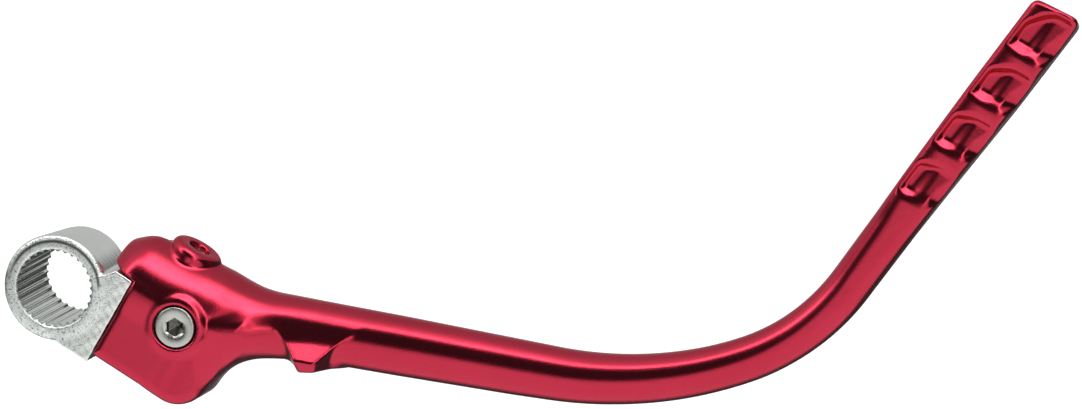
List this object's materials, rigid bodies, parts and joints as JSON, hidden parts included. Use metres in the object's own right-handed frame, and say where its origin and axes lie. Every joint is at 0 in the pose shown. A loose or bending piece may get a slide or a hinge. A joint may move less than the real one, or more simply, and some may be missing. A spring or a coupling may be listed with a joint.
{
  "type": "folding kick-start lever",
  "caption": "Folding kick-start lever: a splined steel knuckle carries a bent aluminium lever that folds a quarter turn on a journal, held by a spring ball detent.",
  "frame": {"origin": "centre of the splined bore, on the kick shaft's axis, half way along the bore", "axes": "+Y along the kick shaft; +X along the fold pivot, from the bore towards the lever's head; +Z the way the foot piece points when the lever is folded in"},
  "size_m": [0.195, 0.0262, 0.2065],
  "materials": {
    "zinc_steel": "zinc plated forging, satin",
    "red_anodised": "red anodised, satin gloss",
    "bush_bronze": "turned bronze",
    "bright_steel": "turned, bright",
    "seal_rubber": "matt black",
    "screw_steel": "stainless, fine turned face",
    "ball_chrome": "polished",
    "spring_steel": "oiled spring wire"
  },
  "bodies": {
    "knuckle": {"knuckle": "zinc_steel"},
    "lever": {"lever_arm": "red_anodised", "pivot_bush": "bush_bronze", "thrust_washer": "bright_steel", "dust_seal": "seal_rubber", "retaining_screw": "screw_steel", "detent_spring": "spring_steel", "detent_plug": "bright_steel"},
    "ball": {"detent_ball": "ball_chrome"}
  },
  "joints": [
    {"name": "arm_fold", "type": "hinge", "parent": "knuckle", "child": "lever", "pos_m": [0.0159, 0, 0.0085], "axis": [-1, 0, 0], "range_deg": [0, 90]},
    {"name": "detent_ball_lift", "type": "slide", "parent": "lever", "child": "ball", "axis": [0, 0, 1], "range_m": [0, 0.0008], "stiffness_N_per_m": 4000, "springref_m": -0.001, "deforming": ["detent_spring"]}
  ]
}
